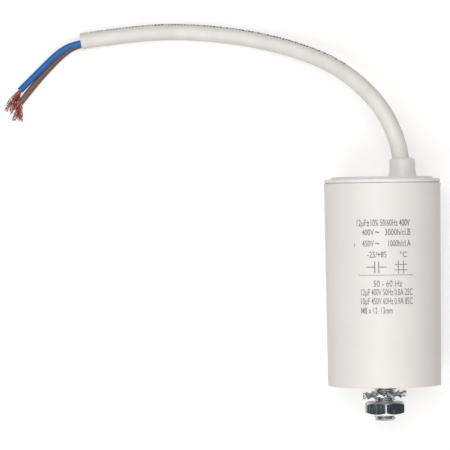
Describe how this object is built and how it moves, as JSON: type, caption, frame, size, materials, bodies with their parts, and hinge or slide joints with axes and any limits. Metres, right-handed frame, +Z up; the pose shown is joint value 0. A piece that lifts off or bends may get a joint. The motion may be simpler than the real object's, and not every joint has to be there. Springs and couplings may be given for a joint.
{
  "type": "motor run capacitor",
  "caption": "Round plastic-cased motor run capacitor lying on its side, with a threaded mounting stud, nut and toothed washer, and a stripped two-core cable.",
  "frame": {"origin": "on the floor, under the middle of the lying body: case, lid, stud, washer and nut, without the cable", "axes": "+Z up; +Y along the case's axis, from the stud towards the lid; +X towards the side of the cable collar"},
  "size_m": [0.1512, 0.1376, 0.04],
  "materials": {
    "case_plastic": "satin moulded",
    "lid_plastic": "satin moulded",
    "stud_steel": "zinc plated, threaded",
    "nut_steel": "zinc plated",
    "washer_steel": "zinc plated",
    "cable_pvc": "soft plastic",
    "blue_insulation": "soft plastic",
    "brown_insulation": "soft plastic",
    "copper": "bare fine wire",
    "metallised_film": "metallised, wound",
    "plain_film": "clear film",
    "sprayed_zinc": "sprayed",
    "solder": "soldered",
    "tube_plastic": "moulded",
    "insulating_board": "pressed",
    "casting_resin": "cast"
  },
  "bodies": {
    "root": {"case": "case_plastic", "lid": "lid_plastic", "stud": "stud_steel", "nut": "nut_steel", "lock_washer": "washer_steel", "bottom_disc": "insulating_board", "winding_core": "tube_plastic", "winding": "metallised_film", "outer_wrap": "plain_film", "end_layer_bottom": "sprayed_zinc", "end_layer_top": "sprayed_zinc", "lead_blue": "blue_insulation", "lead_brown": "brown_insulation", "solder_bottom": "solder", "solder_top": "solder", "resin_fill": "casting_resin", "cable_sheath": "cable_pvc", "core_blue": "blue_insulation", "core_brown": "brown_insulation", "strands_blue": "copper", "strands_brown": "copper"}
  },
  "joints": []
}
